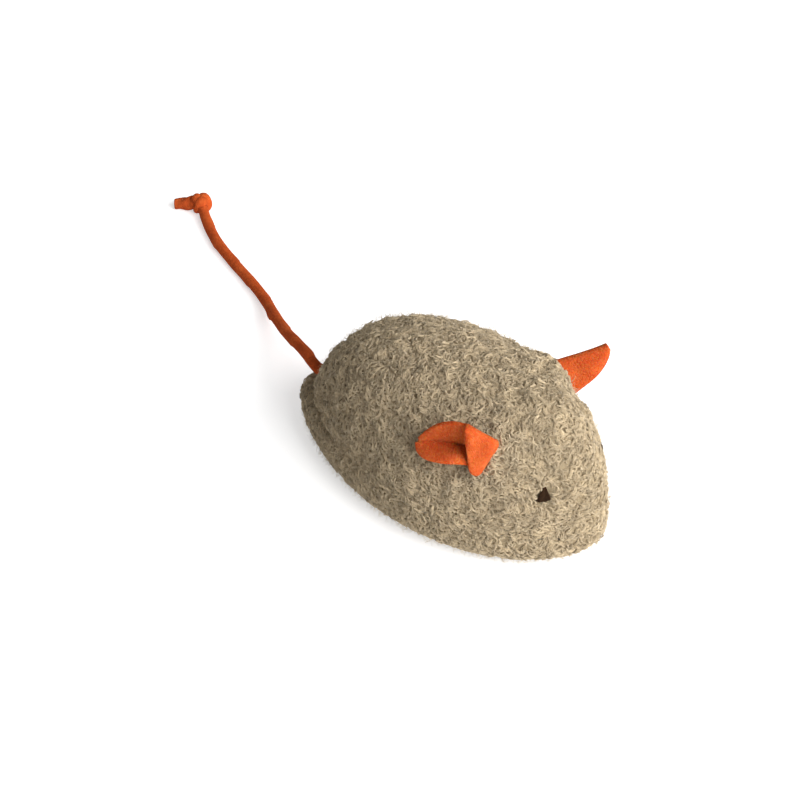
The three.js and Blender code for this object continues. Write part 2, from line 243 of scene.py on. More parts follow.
def pull_in(cover):
    """Presses the darts and puckers at the ears and the unevenness of the stuffing into a cover."""
    darts, puckers = [], []
    for side in (RIGHT, LEFT):
        root, _, crownward = ear_seat(side)
        puckers.append((root + crownward * PUCKER_PLACE, PUCKER_HEIGHTS[side]))
        puckers.append((root - crownward * HOLLOW_PLACE, -HOLLOW_DEPTHS[side]))
        top = root + crownward * EAR_SLIT_HALF
        darts.append((top, top + on_side(DART_TO_CROWN, side)))
        foot = root - crownward * EAR_SLIT_HALF
        darts.append((foot, foot + on_side(DART_TO_CHEEK, side)))
    normals = [vertex.normal.copy() for vertex in cover.data.vertices]
    for vertex, normal in zip(cover.data.vertices, normals):
        lump = noise.noise(vertex.co / LUMP_SIZE) * LUMP_DEPTH
        lump += noise.noise(vertex.co / TUFT_SIZE) * TUFT_DEPTH
        for place, height in puckers:
            near = (vertex.co - place).length / PUCKER_SIZE
            lump += height * math.exp(-near * near)
        for start, end in darts:
            near = from_line(vertex.co, start, end) / DART_WIDTH
            lump -= DART_DEPTH * math.exp(-near * near)
        vertex.co += normal * lump


def mark_pile(cover):
    """Says where a cover carries pile and fuzz: none under ears, eyes and tail."""
    slits = []
    for side in (RIGHT, LEFT):
        root, _, crownward = ear_seat(side)
        half = crownward * EAR_SLIT_HALF
        slits.append((root - half, root + half))
    for name, margins in BARE_MARGINS.items():
        shares = []
        for vertex in cover.data.vertices:
            bare = in_eye(vertex.co, margins["eye"])
            bare = bare or (vertex.co - TAIL_EXIT).length < margins["tail"]
            bare = bare or any(from_line(vertex.co, *slit) < margins["ear"] for slit in slits)
            shares.append(0.0 if bare else 1.0)
        attribute = cover.data.attributes.new(name, "FLOAT", "POINT")
        attribute.data.foreach_set("value", shares)


crown_rows = [
    [crown_point(math.pi * r / BODY_STEPS, math.pi * i / CROWN_STEPS, PILE_DEPTH)
     for i in range(CROWN_STEPS + 1)]
    for r in range(BODY_STEPS + 1)
]
body_cloth = sheet_mesh("body_pile_cloth", crown_rows)
pull_in(body_cloth)
mark_pile(body_cloth)


# The pile: thousands of curled locks of beige yarn that stand up from the backing, each lying
# its own way, so that the cloth looks like short curly fleece. The yarn is heathered lock by
# lock, with painted sheen over it in patches a few millimetres wide, and fine fuzz stands out
# between the locks.
YARN_RADIUS = 0.00011
YARN_SIDES = 3
LOCK_STRANDS = (-1, 0, 1)
STRAND_APART = 0.00023
STRAND_FAN = 0.22
LOCK_RISE = 0.00012
LOOP_SPACING = 0.00058
LOOPS_PER_AREA = 2.4e6
LOOP_TILT = math.radians(14)
LOOP_SCALES = (0.75, 1.2)
NAP_PATCH = 120
NAP_TURN = 4 * math.pi
NAP_SPREAD = 1.1
FLOOR_CLEARANCE = 0.0001
CURLS = (
    ("GeometryNodeCurveSpiral", {
        "Resolution": 6, "Rotations": 0.5, "Start Radius": 0.0007, "End Radius": 0.0011,
        "Height": 0.0004}),
    ("GeometryNodeCurveSpiral", {
        "Resolution": 6, "Rotations": 0.7, "Start Radius": 0.0004, "End Radius": 0.0008,
        "Height": 0.0005}),
    ("GeometryNodeCurvePrimitiveBezierSegment", {
        "Resolution": 6, "Start": (-0.0013, 0, -0.0002), "Start Handle": (-0.0003, 0.0011, 0.0006),
        "End Handle": (0.0003, -0.0011, 0.0006), "End": (0.0013, 0, -0.0002)}),
    ("GeometryNodeCurveQuadraticBezier", {
        "Resolution": 5, "Start": (-0.0012, 0, -0.0002), "Middle": (0.0002, 0.001, 0.0009),
        "End": (0.001, 0.0002, -0.0002)}),
)
FUZZ_RADIUS = 0.000025
FUZZ_PER_AREA = 1.7e6
FUZZ_LEAN = math.radians(45)
FUZZ_SCALES = (0.7, 1.3)
FUZZ_TONES = (0.5, 1)
FUZZ_HAIR = {
    "Resolution": 2, "Start": (0, 0, 0.0002), "Middle": (0.0003, 0.0001, 0.0011),
    "End": (0.0013, 0.0004, 0.0012)}


def add_node(tree, kind, inputs=None, **settings):
    """Adds a node with its settings; an input is a value or the output that feeds it."""
    node = tree.nodes.new(kind)
    for name, value in settings.items():
        setattr(node, name, value)
    for name, value in (inputs or {}).items():
        if isinstance(value, bpy.types.NodeSocket):
            tree.links.new(value, node.inputs[name])
        else:
            node.inputs[name].default_value = value
    return node


def new_tree(name, inputs):
    """An empty tree of geometry nodes with its own named inputs."""
    tree = bpy.data.node_groups.new(name, "GeometryNodeTree")
    for label, kind in inputs:
        tree.interface.new_socket(label, in_out="INPUT", socket_type=kind)
    tree.interface.new_socket("Made", in_out="OUTPUT", socket_type="NodeSocketGeometry")
    return tree, add_node(tree, "NodeGroupInput").outputs


def grow(made, tree, values):
    """Runs a tree on an object with these inputs and keeps the result as a plain mesh."""
    modifier = made.modifiers.new(tree.name, "NODES")
    modifier.node_group = tree
    for item in tree.interface.items_tree:
        if item.in_out == "INPUT" and item.name in values:
            modifier[item.identifier] = values[item.name]
    return settled(made)


def random_number(tree, low, high, seed):
    """A number for each point or instance, anywhere from low to high."""
    node = add_node(tree, "FunctionNodeRandomValue", {"Seed": seed}, data_type="FLOAT")
    node.inputs[2].default_value = low
    node.inputs[3].default_value = high
    return node.outputs[1]


def random_pick(tree, count, seed):
    """A whole number for each point, below the count."""
    node = add_node(tree, "FunctionNodeRandomValue", {"Seed": seed}, data_type="INT")
    node.inputs[4].default_value = 0
    node.inputs[5].default_value = count - 1
    return node.outputs[2]


def named_share(tree, name):
    """A share that is marked on the cover."""
    node = add_node(tree, "GeometryNodeInputNamedAttribute", {"Name": name}, data_type="FLOAT")
    return node.outputs["Attribute"]


def joined(tree, parts):
    """Several geometries as one, in their order."""
    join = add_node(tree, "GeometryNodeJoinGeometry")
    for part in parts:
        tree.links.new(part, join.inputs["Geometry"])
    return join.outputs["Geometry"]


def spun_along(tree, line, radius, sides, capped):
    """A thread along a line, with flat ends or open ones."""
    section = add_node(tree, "GeometryNodeCurvePrimitiveCircle", {
        "Resolution": sides, "Radius": radius})
    thread = add_node(tree, "GeometryNodeCurveToMesh", {
        "Curve": line, "Profile Curve": section.outputs["Curve"], "Fill Caps": capped})
    return thread.outputs["Mesh"]


def leaning(tree, upright, tilt, seeds, spin):
    """The upright rotation, tilted both ways at random and spun by an angle."""
    lean = add_node(tree, "ShaderNodeCombineXYZ", {
        "X": random_number(tree, -tilt, tilt, seeds[0]),
        "Y": random_number(tree, -tilt, tilt, seeds[1]),
        "Z": spin})
    leant = add_node(tree, "FunctionNodeEulerToRotation", {"Euler": lean.outputs["Vector"]})
    turned = add_node(tree, "FunctionNodeRotateRotation", {
        "Rotation": upright, "Rotate By": leant.outputs["Rotation"]}, rotation_space="LOCAL")
    return turned.outputs["Rotation"]


def toned(tree, instances, low, high, seed):
    """Instances that each carry their own tone of the yarn."""
    node = add_node(tree, "GeometryNodeStoreNamedAttribute", {
        "Geometry": instances, "Name": "curl_tone", "Value": random_number(tree, low, high, seed),
    }, data_type="FLOAT", domain="INSTANCE")
    return node.outputs["Geometry"]


pile, pile_inputs = new_tree("looped_pile", (
    ("Cover", "NodeSocketGeometry"),
    ("Loop spacing", "NodeSocketFloat"),
    ("Loops per area", "NodeSocketFloat"),
    ("Yarn radius", "NodeSocketFloat"),
    ("Floor", "NodeSocketVector"),
    ("Seed", "NodeSocketInt"),
    ("Yarn", "NodeSocketMaterial"),
))
locks = []
for curl_kind, curl_shape in CURLS:
    curl = add_node(pile, curl_kind, curl_shape)
    strand = spun_along(
        pile, curl.outputs["Curve"], pile_inputs["Yarn radius"], YARN_SIDES, capped=True)
    strands = []
    for beside in LOCK_STRANDS:
        laid_beside = add_node(pile, "GeometryNodeTransform", {
            "Geometry": strand,
            "Translation": (0, beside * STRAND_APART, LOCK_RISE - abs(beside) * YARN_RADIUS),
            "Rotation": (0, 0, beside * STRAND_FAN)})
        strands.append(laid_beside.outputs["Geometry"])
    lock = add_node(pile, "GeometryNodeGeometryToInstance", {"Geometry": joined(pile, strands)})
    locks.append(lock.outputs["Instances"])
loop_spots = add_node(pile, "GeometryNodeDistributePointsOnFaces", {
    "Mesh": pile_inputs["Cover"],
    "Distance Min": pile_inputs["Loop spacing"],
    "Density Max": pile_inputs["Loops per area"],
    "Density Factor": named_share(pile, "pile_share"),
    "Seed": pile_inputs["Seed"],
}, distribute_method="POISSON")
nap = add_node(pile, "ShaderNodeTexNoise", {"Scale": NAP_PATCH, "Detail": 1.0})
nap_turn = add_node(pile, "ShaderNodeMath", {
    0: nap.outputs["Fac"], 1: NAP_TURN}, operation="MULTIPLY")
loop_spin = add_node(pile, "ShaderNodeMath", {
    0: nap_turn.outputs["Value"], 1: random_number(pile, -NAP_SPREAD, NAP_SPREAD, seed=7),
}, operation="ADD")
loops = add_node(pile, "GeometryNodeInstanceOnPoints", {
    "Points": loop_spots.outputs["Points"],
    "Instance": joined(pile, locks),
    "Pick Instance": True,
    "Instance Index": random_pick(pile, len(CURLS), seed=3),
    "Rotation": leaning(
        pile, loop_spots.outputs["Rotation"], LOOP_TILT, seeds=(5, 6),
        spin=loop_spin.outputs["Value"]),
    "Scale": random_number(pile, *LOOP_SCALES, seed=8),
})

fuzz_hair = spun_along(
    pile, add_node(pile, "GeometryNodeCurveQuadraticBezier", FUZZ_HAIR).outputs["Curve"],
    FUZZ_RADIUS, YARN_SIDES, capped=False)
fuzz_density = add_node(pile, "ShaderNodeMath", {
    0: named_share(pile, "fuzz_share"), 1: FUZZ_PER_AREA}, operation="MULTIPLY")
fuzz_spots = add_node(pile, "GeometryNodeDistributePointsOnFaces", {
    "Mesh": pile_inputs["Cover"],
    "Density": fuzz_density.outputs["Value"],
    "Seed": pile_inputs["Seed"],
}, distribute_method="RANDOM")
fuzz = add_node(pile, "GeometryNodeInstanceOnPoints", {
    "Points": fuzz_spots.outputs["Points"],
    "Instance": fuzz_hair,
    "Rotation": leaning(
        pile, fuzz_spots.outputs["Rotation"], FUZZ_LEAN, seeds=(15, 16),
        spin=random_number(pile, 0, 2 * math.pi, seed=17)),
    "Scale": random_number(pile, *FUZZ_SCALES, seed=18),
})

loops_and_fuzz = joined(pile, (
    toned(pile, loops.outputs["Instances"], 0, 1, seed=9),
    toned(pile, fuzz.outputs["Instances"], *FUZZ_TONES, seed=19),
))
real_loops = add_node(pile, "GeometryNodeRealizeInstances", {"Geometry": loops_and_fuzz})
yarn_place = add_node(pile, "GeometryNodeInputPosition")
lifted = add_node(pile, "ShaderNodeVectorMath", {
    0: yarn_place.outputs["Position"], 1: pile_inputs["Floor"]}, operation="MAXIMUM")
laid = add_node(pile, "GeometryNodeSetPosition", {
    "Geometry": real_loops.outputs["Geometry"], "Position": lifted.outputs["Vector"]})
round_yarn = add_node(pile, "GeometryNodeSetShadeSmooth", {"Geometry": laid.outputs["Geometry"]})
dyed = add_node(pile, "GeometryNodeSetMaterial", {
    "Geometry": round_yarn.outputs["Geometry"], "Material": pile_inputs["Yarn"]})
add_node(pile, "NodeGroupOutput", {
    "Made": joined(pile, (dyed.outputs["Geometry"], pile_inputs["Cover"]))})


def new_material(name, **shader_values):
    """A material, its tree and its shader, with the values that are the same all over."""
    material = bpy.data.materials.new(name)
    material.use_nodes = True
    tree = material.node_tree
    shader = tree.nodes["Principled BSDF"]
    for label, value in shader_values.items():
        shader.inputs[label.replace("_", " ")].default_value = value
    return material, tree, shader


def noise_at(tree, scale, detail):
    """Cloudy noise over the piece, with so many clouds to the metre."""
    place = add_node(tree, "ShaderNodeTexCoord").outputs["Object"]
    return add_node(tree, "ShaderNodeTexNoise", {
        "Vector": place, "Scale": scale, "Detail": detail}).outputs["Fac"]


def colour_by(tree, shader, share, colours):
    """Colours the piece with shades spread evenly over a share from 0 to 1."""
    ramp = add_node(tree, "ShaderNodeValToRGB", {"Fac": share})
    points = ramp.color_ramp.elements
    while len(points) < len(colours):
        points.new(0.5)
    for i, colour in enumerate(colours):
        points[i].position = i / (len(colours) - 1)
        points[i].color = (*colour, 1)
    tree.links.new(ramp.outputs["Color"], shader.inputs["Base Color"])


def add_bump(tree, shader, height, strength, distance):
    """Fine relief of the surface."""
    bump = add_node(tree, "ShaderNodeBump", {
        "Strength": strength, "Distance": distance, "Height": height})
    tree.links.new(bump.outputs["Normal"], shader.inputs["Normal"])


def add_grain(tree, shader, scale, detail, strength, distance):
    """Fine relief made of cloudy noise."""
    add_bump(tree, shader, noise_at(tree, scale, detail), strength, distance)


yarn, yarn_tree, yarn_shader = new_material(
    "beige_yarn", Roughness=0.55, Specular_IOR_Level=0.3,
    Sheen_Weight=0.6, Sheen_Roughness=0.6, Sheen_Tint=(1, 0.86, 0.66, 1))
tone = add_node(yarn_tree, "ShaderNodeAttribute", attribute_name="curl_tone")
# The random tone of each lock is the yarn's own. The cloudy patches mixed over it are painted sheen:
# lighter and darker where the pile would lie different ways to the light.
sheen_patches = add_node(yarn_tree, "ShaderNodeMapRange", {
    "Value": noise_at(yarn_tree, scale=330, detail=2), "From Min": 0.32, "From Max": 0.68})
heather_and_sheen = add_node(yarn_tree, "ShaderNodeMix", {
    "Factor": 0.55, "A": tone.outputs["Fac"], "B": sheen_patches.outputs["Result"]})
colour_by(yarn_tree, yarn_shader, heather_and_sheen.outputs["Result"], (
    (0.3, 0.234, 0.144), (0.5, 0.394, 0.25), (0.7, 0.566, 0.367)))
add_grain(yarn_tree, yarn_shader, scale=5000, detail=2, strength=0.3, distance=0.0001)

# The backing's own colour, made a shade darker than the yarn, so that it also paints the shade in the
# gaps between the locks.
backing, backing_tree, backing_shader = new_material("knitted_backing", Roughness=0.95)
colour_by(backing_tree, backing_shader, noise_at(backing_tree, scale=900, detail=3), (
    (0.26, 0.2, 0.12), (0.38, 0.3, 0.185)))
add_grain(backing_tree, backing_shader, scale=2500, detail=2, strength=0.6, distance=0.0002)


def finish_cloth(cover, seed):
    """Gives a cover its backing and its pile, and ties it to the mouse's body."""
    cover.data.materials.append(backing)
    grow(cover, pile, {
        "Loop spacing": LOOP_SPACING, "Loops per area": LOOPS_PER_AREA, "Yarn radius": YARN_RADIUS,
        "Floor": (-1, -1, FLOOR_CLEARANCE), "Seed": seed, "Yarn": yarn})
    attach(cover, "body")


finish_cloth(body_cloth, seed=11)
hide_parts("body_cover")


# The base: a second cover of the same cloth, sewn to the first all round. The stuffing pushes
# it out over the seam in a plump lip, most of all at the rear, and its middle lies flat.
BASE_HALF_WIDTHS = (0.0116, 0.022, 0.0237, 0.0134)
BELLY_SHARE = 0.68
UNDER_POWER = 2 / 2.6
END_POWER = 6
FLAT_DEPTH = 0.0005
QUARTER_STEPS = 22


def base_point(turn, step, side, inset):
    """A point of the base: over the lip to the belly line, then under it to the middle."""
    seam_width = swelling([value - inset for value in SEAM_HALF_WIDTHS], turn)
    belly_width = swelling([value - inset for value in BASE_HALF_WIDTHS], turn)
    top = seam_level(turn) - SEAM_GAP
    belly = BELLY_SHARE * top
    seam_x = seam_along(turn, inset)
    belly_x = -(BODY_LENGTH / 2 - inset) * math.cos(turn)
    quarter = (step % 1) * math.pi / 2
    if step < 1:
        out = math.sin(quarter)
        return Vector((
            seam_x + (belly_x - seam_x) * out,
            side * (seam_width + (belly_width - seam_width) * out),
            belly + (top - belly) * math.cos(quarter),
        ))
    under = 1 if step == 2 else math.sin(quarter) ** UNDER_POWER
    across = 0 if step == 2 else math.cos(quarter) ** UNDER_POWER
    fullness = 1 - abs(math.cos(turn)) ** END_POWER
    depth = (belly + FLAT_DEPTH - inset) * fullness
    low = belly - depth * under
    return Vector((belly_x, side * belly_width * across, max(low, inset)))


base_rows = []
for r in range(BODY_STEPS + 1):
    turn = math.pi * r / BODY_STEPS
    steps = [i / QUARTER_STEPS for i in range(2 * QUARTER_STEPS + 1)]
    right_half = [base_point(turn, step, RIGHT, PILE_DEPTH) for step in steps]
    left_half = [base_point(turn, step, LEFT, PILE_DEPTH) for step in reversed(steps[:-1])]
    base_rows.append(right_half + left_half)
base_cloth = sheet_mesh("base_pile_cloth", base_rows)
mark_pile(base_cloth)
finish_cloth(base_cloth, seed=12)
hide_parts("base_cover")


# The filling: loose white fibre packed into both covers, and a wad of dried, cut catnip leaf
# pushed into its middle from below. The closed covers hide them both.
fibre, fibre_tree, fibre_shader = new_material(
    "white_fibre", Roughness=0.95, Sheen_Weight=0.4, Sheen_Roughness=0.5)
colour_by(fibre_tree, fibre_shader, noise_at(fibre_tree, scale=700, detail=6), (
    (0.74, 0.72, 0.68), (0.9, 0.89, 0.87)))
add_grain(fibre_tree, fibre_shader, scale=1500, detail=6, strength=0.9, distance=0.0008)

herb, herb_tree, herb_shader = new_material("dried_catnip", Roughness=0.9)
herb_place = add_node(herb_tree, "ShaderNodeTexCoord").outputs["Object"]
flakes = add_node(herb_tree, "ShaderNodeTexVoronoi", {"Vector": herb_place, "Scale": 700})
flake_tone = add_node(herb_tree, "ShaderNodeSeparateColor", {"Color": flakes.outputs["Color"]})
colour_by(herb_tree, herb_shader, flake_tone.outputs["Red"], (
    (0.09, 0.1, 0.035), (0.17, 0.18, 0.07), (0.29, 0.27, 0.13)))
add_bump(herb_tree, herb_shader, flakes.outputs["Distance"], strength=1.0, distance=0.0006)


def finish_node(node, material):
    """Gives a solid that stays as it is its own finish."""
    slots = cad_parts[node].data.materials
    slots.clear()
    slots.append(material)


finish_node("stuffing", fibre)
finish_node("catnip_fill", herb)


# The seam: one sewing thread whipped round the turned edges of both covers, all the way round.
# The swollen cloth and its pile close over the stitches, and only a groove is left at the rear.
THREAD_SIDES = 6
SEAM_THREAD_RADIUS = 0.00025
STITCHES_PER_SIDE = 96
SEAM_BITE = Vector((0, 0, 0.0008))
SEAM_INSET = 0.0014

pale_thread, pale_tree, pale_shader = new_material(
    "pale_thread", Roughness=0.7, Sheen_Weight=0.2, Specular_IOR_Level=0.2)
colour_by(pale_tree, pale_shader, noise_at(pale_tree, scale=1800, detail=3), (
    (0.2, 0.15, 0.095), (0.33, 0.26, 0.17)))
add_grain(pale_tree, pale_shader, scale=7000, detail=2, strength=0.4, distance=0.0001)

stitching, stitching_inputs = new_tree("laid_threads", (
    ("Lines", "NodeSocketGeometry"),
    ("Thread radius", "NodeSocketFloat"),
    ("Thread", "NodeSocketMaterial"),
))
thread_lines = add_node(stitching, "GeometryNodeMeshToCurve", {"Mesh": stitching_inputs["Lines"]})
threads = spun_along(stitching, thread_lines.outputs["Curve"], stitching_inputs["Thread radius"],
                     THREAD_SIDES, capped=True)
real_threads = add_node(stitching, "GeometryNodeRealizeInstances", {"Geometry": threads})
dyed_threads = add_node(stitching, "GeometryNodeSetMaterial", {
    "Geometry": real_threads.outputs["Geometry"], "Material": stitching_inputs["Thread"]})
add_node(stitching, "NodeGroupOutput", {"Made": dyed_threads.outputs["Geometry"]})


def laid_threads(name, lines, radius, material):
    """Threads laid along lines of points."""
    points, edges = [], []
    for line in lines:
        first = len(points)
        points += line
        edges += [(i, i + 1) for i in range(first, first + len(line) - 1)]
    mesh = bpy.data.meshes.new(name)
    mesh.from_pydata(points, edges, [])
    made = bpy.data.objects.new(name, mesh)
    bpy.context.scene.collection.objects.link(made)
    return grow(made, stitching, {"Thread radius": radius, "Thread": material})


seam_line = []
for i in range(2 * STITCHES_PER_SIDE):
    turn = math.pi * i / STITCHES_PER_SIDE
    around = 0 if turn < math.pi else math.pi
    seam_line.append(crown_point(math.pi - abs(math.pi - turn), around, SEAM_INSET))
whipped = []
for i, place in enumerate(seam_line):
    next_place = seam_line[(i + 1) % len(seam_line)]
    whipped.append(place + SEAM_BITE)
    whipped.append((place + next_place) / 2 - SEAM_BITE)
seam_stitches = laid_threads("seam_stitches", [whipped + whipped[:1]], SEAM_THREAD_RADIUS, pale_thread)
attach(seam_stitches, "body")
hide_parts("seam_thread")


# The ears: one leaf of thick orange felt each, folded lengthwise with the fold to the crown and
# caught in a dart. The right one lies bent back, its front half cut short; the left stands out.
FELT = 0.0012
HINGE_HEIGHT = 0.0022
ROOT_DEPTH = 0.0052
ROOT_REACH = 0.001
ROOT_ROWS = 8
EAR_COLUMNS = 28
EAR_ROWS = 26
ROWS_TO_TIP_POWER = 1.5
LAYER_APART = 0.0007
FOLD_ROUND = 0.16
OPEN_SHARE = 0.4
CUP_LIFT = 0.6
CUP_POWER = 4
TROUGH = 0.57
TROUGH_POWER = 1.8
PINCH_REACH = 0.5
RISE_TURN = 0.7 * math.pi
EDGE_TURN = 0.0009
EDGE_START = 0.5
BEND_HALF = 0.0013
BEND_STEPS = 24
LEAF_HALF = 0.005
LEAF_SET = 0.0003
LEAF_BLUNT = 0.985
CROWN_EDGE = {"swell": 0.0005, "from": 0.1, "to": 0.5, "tip": 14, "droop": 0.008, "power": 3.4}
FAR_EDGE = {"swell": 0.001, "from": 0.3, "to": 0.8, "tip": 4.5, "droop": 0.0054, "power": 2}
FRONT_END = 0.453
FRONT_SLANT = 0.416
STRAIGHT_EDGE = 0.0037
STRAIGHT_SLOPE = 0.0039
ARCH = 0.0048
ARCH_BLUNT = 0.98
ARCH_TIP = 2.4
ARCH_POWER = 0.6
WHOLE_FRONT = 0.98


def mottle(tree, coarse, fine):
    """Large and small clouds in even parts, as in pressed wool."""
    mix = add_node(tree, "ShaderNodeMix", {
        "Factor": 0.5, "A": noise_at(tree, coarse, detail=2), "B": noise_at(tree, fine, detail=4)})
    return mix.outputs["Result"]


felt, felt_tree, felt_shader = new_material(
    "orange_felt", Roughness=1.0, Specular_IOR_Level=0.05,
    Sheen_Weight=0.1, Sheen_Roughness=0.4, Sheen_Tint=(1, 0.45, 0.2, 1),
    Subsurface_Weight=0.6, Subsurface_Scale=0.0015, Subsurface_Radius=(1, 0.12, 0.03))
colour_by(felt_tree, felt_shader, mottle(felt_tree, coarse=250, fine=1800), (
    (0.3, 0.022, 0.006), (0.58, 0.105, 0.025), (0.88, 0.27, 0.078)))
add_grain(felt_tree, felt_shader, scale=2600, detail=4, strength=1.0, distance=0.0005)


def ease(value, low, high):
    """A soft step from 0 at the low value to 1 at the high one."""
    share = min(max((value - low) / (high - low), 0), 1)
    return share * share * (3 - 2 * share)


def drooping_edge(share, way, edge):
    """One edge of the right ear: it swells, droops and closes to a blunt tip."""
    half = LEAF_HALF + edge["swell"] * ease(share, edge["from"], edge["to"])
    closing = math.sqrt(1 - min(share, LEAF_BLUNT) ** edge["tip"])
    return LEAF_SET - edge["droop"] * share ** edge["power"] + way * half * closing


def drooping_leaf(share):
    """Edges of the right ear to the crown and away from it."""
    share = max(share, 0)
    return drooping_edge(share, 1, CROWN_EDGE), drooping_edge(share, -1, FAR_EDGE)


def upright_leaf(share):
    """Edges of the left ear: straight to the crown, arched away from it."""
    arch = (1 - min(max(share, 0), ARCH_BLUNT) ** ARCH_TIP) ** ARCH_POWER
    return STRAIGHT_EDGE - STRAIGHT_SLOPE * share, -ARCH * arch


def bent(x, z, fold):
    """Bends a straight strip back by the fold, over a short stretch at the hinge."""
    reach, rise = min(x, -BEND_HALF), 0
    span = min(max(x, -BEND_HALF), BEND_HALF) + BEND_HALF
    for i in range(BEND_STEPS):
        angle = fold * ease(-BEND_HALF + span * (i + 0.5) / BEND_STEPS, -BEND_HALF, BEND_HALF)
        reach += math.cos(angle) * span / BEND_STEPS
        rise -= math.sin(angle) * span / BEND_STEPS
    angle = fold * ease(x, -BEND_HALF, BEND_HALF)
    beyond = max(x - BEND_HALF, 0)
    reach += math.cos(angle) * beyond + math.sin(angle) * z
    rise += -math.sin(angle) * beyond + math.cos(angle) * z
    return reach, rise


def ear_felt(side_name, side, pose):
    """A folded leaf, from its root in the dart to its tip, bent and turned as it lies."""
    root, out, crownward = ear_seat(side)
    facing = out.cross(crownward) * side
    hinge = root + out * HINGE_HEIGHT
    length = pose["length"]

    def placed(x, y, z):
        """A point of the leaf, bent at the hinge and set on the head."""
        x, z = bent(x, z, pose["fold"])
        return hinge + out * x + crownward * y + facing * z

    def row(x):
        """Points across the leaf, from the edge of its front half over the fold to the other."""
        share = min(max(x, 0) / length, 1)
        opened = ease(x, 0, OPEN_SHARE * length)
        cup = pose["cup"] * opened * (1 - share ** CUP_POWER)
        narrowing = pose["root"] + (1 - pose["root"]) * ease(x, -HINGE_HEIGHT, ROOT_REACH)
        crown_edge, far_edge = (narrowing * edge for edge in pose["edges"](min(x / length, 1)))
        width = crown_edge - far_edge
        front = min(max(pose["front"](share), 0), 1)
        places = []
        for i in range(EAR_COLUMNS + 1):
            across = 2 * i / EAR_COLUMNS - 1
            down = abs(across) if across > 0 or front else 0
            apart = LAYER_APART * math.sqrt(1 - (1 - min(down / FOLD_ROUND, 1)) ** 2)
            if across < 0:
                reach = width * front
                z = apart + pose["rise"] * opened * math.sin(RISE_TURN * down)
                z -= EDGE_TURN * opened * ease(down, EDGE_START, 1)
            else:
                reach = width * (1 - pose["pinch"] * (1 - ease(share, 0, PINCH_REACH)))
                belly = min(down / TROUGH, (1 - down) / (1 - TROUGH))
                z = -apart - cup * belly ** TROUGH_POWER
            places.append(placed(x, crown_edge - reach * down, z + CUP_LIFT * cup))
        return places

    rows = [row(-ROOT_DEPTH + ROOT_DEPTH * i / ROOT_ROWS) for i in range(ROOT_ROWS)]
    for i in range(EAR_ROWS + 1):
        rows.append(row(length * (1 - (1 - i / EAR_ROWS) ** ROWS_TO_TIP_POWER)))
    ear = sheet_mesh(f"{side_name}_ear_felt", rows)
    wall = ear.modifiers.new("wall", "SOLIDIFY")
    wall.thickness = FELT
    wall.offset = 0
    rounding = ear.modifiers.new("rounding", "SUBSURF")
    rounding.levels = 1
    rounding.render_levels = 1
    settled(ear)
    ear.data.materials.append(felt)
    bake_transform(ear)
    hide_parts(f"{side_name}_ear", f"{side_name}_ear_tab")
    return ear


right_ear = ear_felt("right", RIGHT, {
    "length": 0.0147, "fold": math.radians(96), "cup": 0.0052, "rise": 0.0009,
    "root": 0.88, "pinch": 0.18, "edges": drooping_leaf,
    "front": lambda share: (FRONT_END - share) / FRONT_SLANT,
})
left_ear = ear_felt("left", LEFT, {
    "length": 0.0101, "fold": 0, "cup": 0.0008, "rise": 0.0006,
    "root": 1, "pinch": 0, "edges": upright_leaf,
    "front": lambda share: WHOLE_FRONT,
})


# The eyes: small pointed patches of dark brown satin stitch, embroidered through the cloth.
# Each is a fan of threads from its point at the top to its wider foot, sunk in the pile.
STITCH_RADIUS = 0.0002
STITCHES = 11
STITCH_MARKS = (-1, -0.6, 0, 0.6, 1)
STITCH_SINK = 0.0007
FAN_MIDDLE = 0.62
FAN_TAPER = 0.38
FAN_ROUNDING = 0.2
UNEVEN_RISE = 0.0001
UNEVEN_RISE_TURN = 7
UNEVEN_HEIGHT = 0.06
UNEVEN_HEIGHT_TURN = 5

dark_thread, dark_tree, dark_shader = new_material(
    "dark_thread", Roughness=0.8, Specular_IOR_Level=0.1)
colour_by(dark_tree, dark_shader, noise_at(dark_tree, scale=1500, detail=3), (
    (0.01, 0.004, 0.001), (0.04, 0.018, 0.007)))
add_grain(dark_tree, dark_shader, scale=6000, detail=2, strength=0.4, distance=0.0001)

for side, side_name in ((RIGHT, "right"), (LEFT, "left")):
    centre, out, level, upward = eye_seat(side)
    lines = []
    for i in range(STITCHES):
        fan = 2 * i / (STITCHES - 1) - 1
        line = []
        for mark in STITCH_MARKS:
            rise = UNEVEN_RISE * math.sin(UNEVEN_RISE_TURN * i) - STITCH_SINK * mark * mark
            spread = fan * (FAN_MIDDLE - FAN_TAPER * mark)
            height = mark * (1 - FAN_ROUNDING * fan * fan)
            height += UNEVEN_HEIGHT * math.sin(UNEVEN_HEIGHT_TURN * i)
            line.append(centre + level * spread * EYE_HALF_WIDTH
                        + upward * height * EYE_HALF_HEIGHT + out * rise)
        lines.append(line)
    eye = laid_threads(f"{side_name}_eye_stitches", lines, STITCH_RADIUS, dark_thread)
    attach(eye, "body")
    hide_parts(f"{side_name}_eye")


